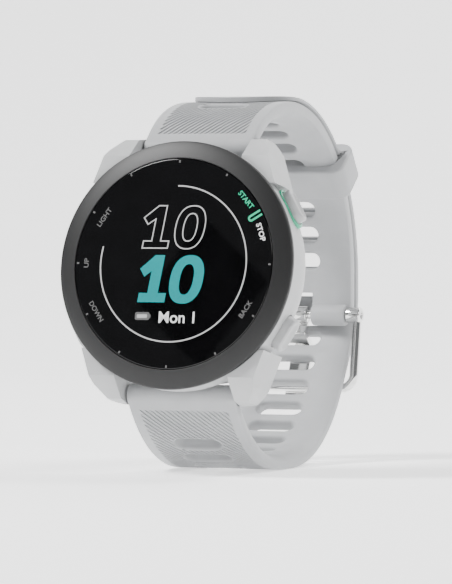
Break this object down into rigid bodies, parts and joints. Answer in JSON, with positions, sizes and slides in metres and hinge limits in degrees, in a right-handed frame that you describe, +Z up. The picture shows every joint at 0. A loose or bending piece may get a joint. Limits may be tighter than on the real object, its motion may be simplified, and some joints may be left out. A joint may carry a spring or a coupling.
{
  "type": "gps running watch",
  "caption": "Round running watch with a black bezel, side push buttons and a slotted silicone strap closed on a steel tang buckle.",
  "frame": {"origin": "middle of the flat on the bottom of the closed strap that the watch rests on", "axes": "+X towards 3 o'clock, -Y out of the dial (which leans back 10 degrees), +Z up"},
  "size_m": [0.0431, 0.0646, 0.0638],
  "materials": {
    "case_polymer": "fine satin light grey fibre-filled polymer",
    "bezel_polymer": "satin black polymer",
    "lens_glass": "polished chemically strengthened glass",
    "mask_ink": "black ink printed behind the glass",
    "display_glass": "dark transflective display",
    "guide_plastic": "clear-white light guide film",
    "chassis_plastic": "glass-filled dark grey plastic",
    "circuit_board": "green solder mask with copper tracks",
    "shield_steel": "tinned sheet",
    "cell_foil": "laminated pouch foil",
    "motor_steel": "drawn can",
    "brass_disc": "brass sounder plate",
    "antenna_brass": "plated antenna strip",
    "seal_rubber": "matt black seal rubber",
    "screw_steel": "machined stainless",
    "window_plastic": "dark infrared-clear window",
    "port_plastic": "dark moulded insulator",
    "contact_gold": "gold-plated contacts",
    "switch_plastic": "moulded switch body",
    "accent_plastic": "satin green polymer",
    "button_plastic": "satin light grey polymer",
    "clip_steel": "stamped spring steel",
    "bar_steel": "drawn stainless",
    "strap_silicone": "matt light grey silicone with fine moulded ribs",
    "buckle_steel": "polished stainless steel"
  },
  "bodies": {
    "watch": {"case_body": "case_polymer", "bezel_ring": "bezel_polymer", "lens_glass": "lens_glass", "lens_mask": "mask_ink", "display_panel": "display_glass", "light_guide": "guide_plastic", "inner_chassis": "chassis_plastic", "main_board": "circuit_board", "shield_cans": "shield_steel", "battery": "cell_foil", "vibration_motor": "motor_steel", "buzzer": "brass_disc", "satellite_antenna": "antenna_brass", "case_gasket": "seal_rubber", "back_cover": "case_polymer", "back_screws": "screw_steel", "sensor_window": "window_plastic", "sensor_board": "circuit_board", "charge_port": "port_plastic", "charge_contacts": "contact_gold", "side_switches": "switch_plastic", "button_seals": "seal_rubber", "start_accent": "accent_plastic", "upper_spring_bar": "bar_steel", "upper_bar_spring": "bar_steel", "lower_spring_bar": "bar_steel", "lower_bar_spring": "bar_steel", "strap_upper": "strap_silicone", "strap_lower": "strap_silicone", "buckle_pin": "buckle_steel"},
    "start_key": {"start_button": "button_plastic", "start_clip": "clip_steel"},
    "back_key": {"back_button": "button_plastic", "back_clip": "clip_steel"},
    "light_key": {"light_button": "button_plastic", "light_clip": "clip_steel"},
    "up_key": {"up_button": "button_plastic", "up_clip": "clip_steel"},
    "down_key": {"down_button": "button_plastic", "down_clip": "clip_steel"},
    "upper_release": {"upper_release_pin": "bar_steel"},
    "lower_release": {"lower_release_pin": "bar_steel"},
    "keeper": {"strap_keeper": "strap_silicone"},
    "buckle": {"buckle_frame": "buckle_steel"},
    "tang": {"buckle_tang": "buckle_steel"}
  },
  "joints": [
    {"name": "start_press", "type": "slide", "parent": "watch", "child": "start_key", "axis": [-0.866, -0.0868, -0.4924], "range_m": [0, 0.0005], "stiffness_N_per_m": 900},
    {"name": "back_press", "type": "slide", "parent": "watch", "child": "back_key", "axis": [-0.866, 0.0868, 0.4924], "range_m": [0, 0.0005], "stiffness_N_per_m": 900},
    {"name": "light_press", "type": "slide", "parent": "watch", "child": "light_key", "axis": [0.866, -0.0868, -0.4924], "range_m": [0, 0.0005], "stiffness_N_per_m": 900},
    {"name": "up_press", "type": "slide", "parent": "watch", "child": "up_key", "axis": [1, 0, 0], "range_m": [0, 0.0005], "stiffness_N_per_m": 900},
    {"name": "down_press", "type": "slide", "parent": "watch", "child": "down_key", "axis": [0.866, 0.0868, 0.4924], "range_m": [0, 0.0005], "stiffness_N_per_m": 900},
    {"name": "upper_bar_release", "type": "slide", "parent": "watch", "child": "upper_release", "axis": [-1, 0, 0], "range_m": [0, 0.0013], "stiffness_N_per_m": 500},
    {"name": "lower_bar_release", "type": "slide", "parent": "watch", "child": "lower_release", "axis": [-1, 0, 0], "range_m": [0, 0.0013], "stiffness_N_per_m": 500},
    {"name": "keeper_travel", "type": "hinge", "parent": "watch", "child": "keeper", "pos_m": [0, 0.0014, 0.03275], "axis": [1, 0, 0], "range_deg": [-24, 23]},
    {"name": "buckle_swing", "type": "hinge", "parent": "watch", "child": "buckle", "pos_m": [0, 0.02889, 0.02558], "axis": [1, 0, 0], "range_deg": [0, 5]},
    {"name": "tang_lift", "type": "hinge", "parent": "buckle", "child": "tang", "pos_m": [0, 0.02889, 0.02558], "axis": [1, 0, 0], "range_deg": [0, 3]}
  ]
}
